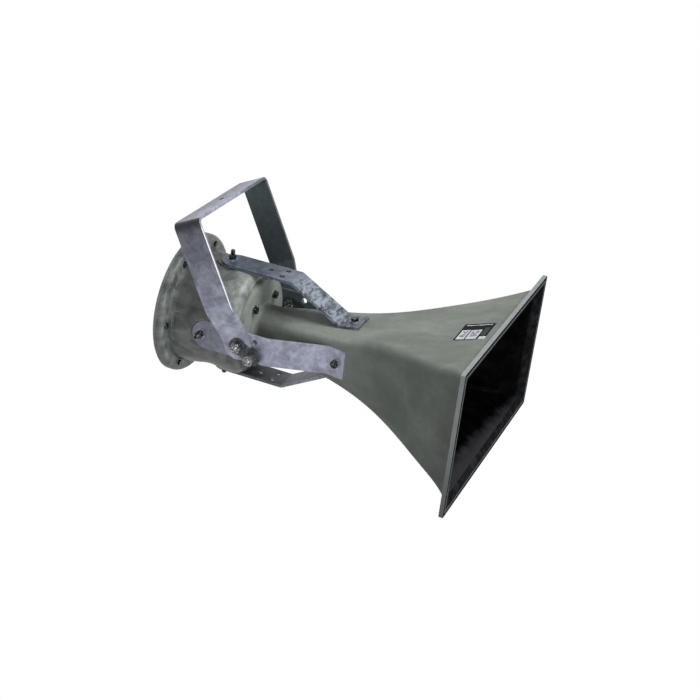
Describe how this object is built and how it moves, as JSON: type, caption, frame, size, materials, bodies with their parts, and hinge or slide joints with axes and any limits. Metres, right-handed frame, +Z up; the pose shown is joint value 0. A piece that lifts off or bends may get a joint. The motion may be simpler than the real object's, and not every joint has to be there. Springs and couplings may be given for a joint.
{
  "type": "pa horn speaker",
  "caption": "Rectangular-mouth public address horn speaker with a cast driver housing, bracing struts and a tilting U-shaped mounting yoke.",
  "frame": {"origin": "centre of the mounting hole on the outer face of the yoke's base", "axes": "+X along the horn axis towards the mouth, +Z up, +Y to the horn's left; the yoke leans back as pictured"},
  "size_m": [0.6077, 0.4408, 0.3443],
  "materials": {
    "bell_paint": "grey-green semi-matt paint on moulded resin",
    "housing_paint": "grey-green paint on an aluminium casting",
    "galvanised_steel": "galvanised, dull, faintly mottled",
    "zinc_fasteners": "zinc plated",
    "dark_washers": "dark oxide",
    "gasket_rubber": "matt black",
    "plate_steel": "machined and plated",
    "ferrite": "dark grey sintered ferrite",
    "driver_castings": "as cast",
    "diaphragm_foil": "thin metal foil, satin",
    "surround_resin": "treated cloth, amber",
    "coil_copper": "enamelled copper winding",
    "black_resin": "black phenolic",
    "black_nylon": "black nylon",
    "brass_terminals": "plated brass",
    "damping_felt": "grey felt"
  },
  "bodies": {
    "bracket": {"mounting_yoke": "galvanised_steel"},
    "speaker": {"horn_bell": "bell_paint", "strut_top": "galvanised_steel", "strut_left": "galvanised_steel", "strut_bottom": "galvanised_steel", "strut_right": "galvanised_steel", "strut_rear_studs": "zinc_fasteners", "strut_rear_washers": "zinc_fasteners", "strut_rear_nuts": "zinc_fasteners", "strut_front_bolts": "zinc_fasteners", "strut_front_washers": "zinc_fasteners", "pivot_bolts": "zinc_fasteners", "pivot_washers": "dark_washers", "pivot_nuts": "zinc_fasteners", "lock_bolts": "zinc_fasteners", "lock_washers": "dark_washers", "lock_nuts": "zinc_fasteners", "throat_gasket": "gasket_rubber", "throat_bolts": "zinc_fasteners", "throat_washers": "zinc_fasteners", "driver_housing": "housing_paint", "rear_cover": "housing_paint", "cover_gasket": "gasket_rubber", "cover_screws": "zinc_fasteners", "driver_gasket": "gasket_rubber", "driver_front_plate": "plate_steel", "driver_pole_piece": "plate_steel", "driver_magnet": "ferrite", "driver_rear_plate": "plate_steel", "phase_plug": "black_resin", "diaphragm_surround": "surround_resin", "diaphragm_clamp_ring": "driver_castings", "driver_cap": "driver_castings", "driver_cap_screws": "zinc_fasteners", "damping_pad": "damping_felt", "driver_posts": "brass_terminals", "terminal_block": "black_resin", "terminal_screws": "brass_terminals", "driver_leads": "black_nylon", "gland_body": "black_nylon", "gland_locknut": "black_nylon", "gland_cap": "black_nylon", "gland_seal": "gasket_rubber"},
    "moving_diaphragm": {"diaphragm": "diaphragm_foil", "voice_coil": "coil_copper"}
  },
  "joints": [
    {"name": "tilt", "type": "hinge", "parent": "bracket", "child": "speaker", "pos_m": [0.10298, 0, -0.20566], "axis": [0, 1, 0], "range_deg": [-60, 30]},
    {"name": "diaphragm_travel", "type": "slide", "parent": "speaker", "child": "moving_diaphragm", "axis": [1, 0, 0], "range_m": [-0.0005, 0.0005], "stiffness_N_per_m": 2000}
  ]
}
